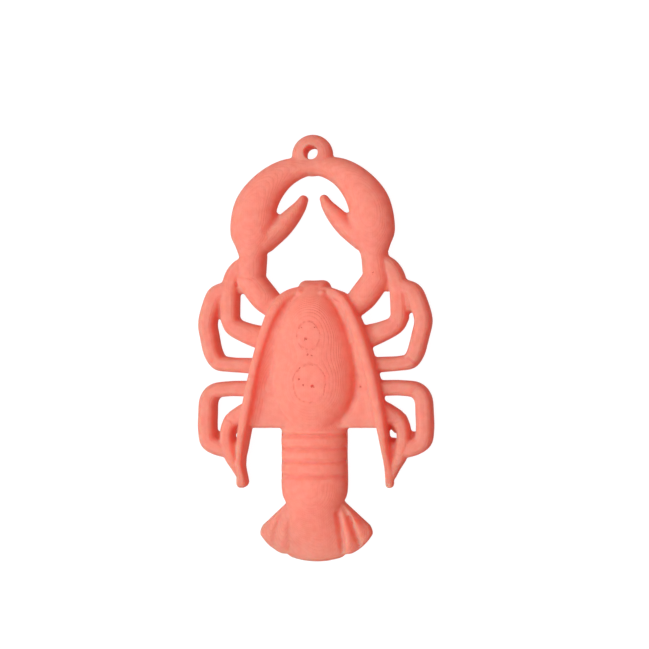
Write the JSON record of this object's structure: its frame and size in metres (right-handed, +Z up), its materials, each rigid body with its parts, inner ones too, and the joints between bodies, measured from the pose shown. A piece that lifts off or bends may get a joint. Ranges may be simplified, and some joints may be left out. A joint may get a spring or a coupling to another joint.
{
  "type": "plastic lobster charm",
  "caption": "Flat-bellied charm printed in plastic as a lobster seen from above, with a small ring between its claws to hang it by.",
  "frame": {"origin": "on the flat belly, under the middle of the outline", "axes": "+Y from the tail fan towards the claws and the ring, +Z up out of the back, +X to the right seen from above"},
  "size_m": [0.0476, 0.0848, 0.008],
  "materials": {
    "coral_plastic": "matte, with fine printed layers"
  },
  "bodies": {
    "root": {"lobster_charm": "coral_plastic"}
  },
  "joints": []
}
